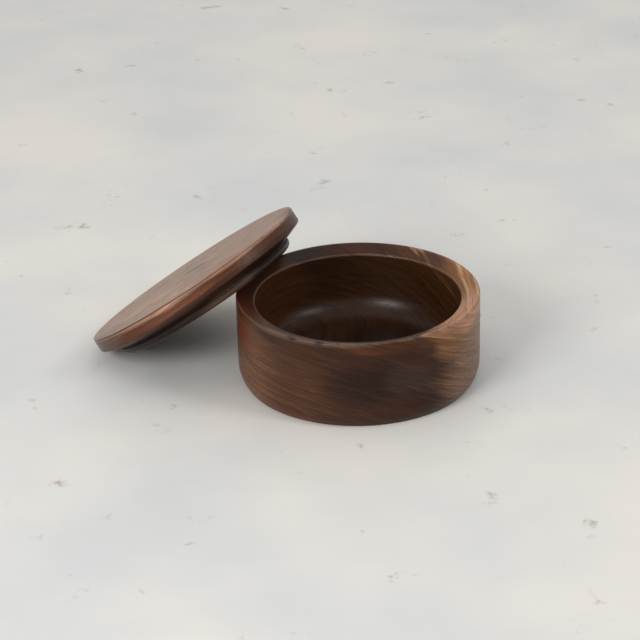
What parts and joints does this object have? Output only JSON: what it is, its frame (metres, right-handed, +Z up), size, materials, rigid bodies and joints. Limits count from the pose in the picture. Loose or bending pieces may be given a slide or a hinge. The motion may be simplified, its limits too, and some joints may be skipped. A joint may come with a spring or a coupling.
{
  "type": "lidded bowl",
  "caption": "Small turned wooden bowl with thick straight walls and a bevelled rim, and a flat lift-off lid with a spigot that leans against its side.",
  "frame": {"origin": "centre of the bowl's base, on the surface it stands on", "axes": "+Z up along the bowl's axis, +X from the leaning lid towards the bowl, +Y to the left of somebody looking from the lid towards the bowl"},
  "size_m": [0.1664, 0.1, 0.0624],
  "materials": {
    "bowl_walnut": "oiled, satin",
    "lid_walnut": "oiled, satin"
  },
  "bodies": {
    "bowl": {"bowl": "bowl_walnut"},
    "lid": {"lid": "lid_walnut"}
  },
  "joints": [
    {"name": "lid_lift", "type": "slide", "parent": "bowl", "child": "lid", "axis": [0, 0, 1], "range_m": [0, 0.08]}
  ]
}
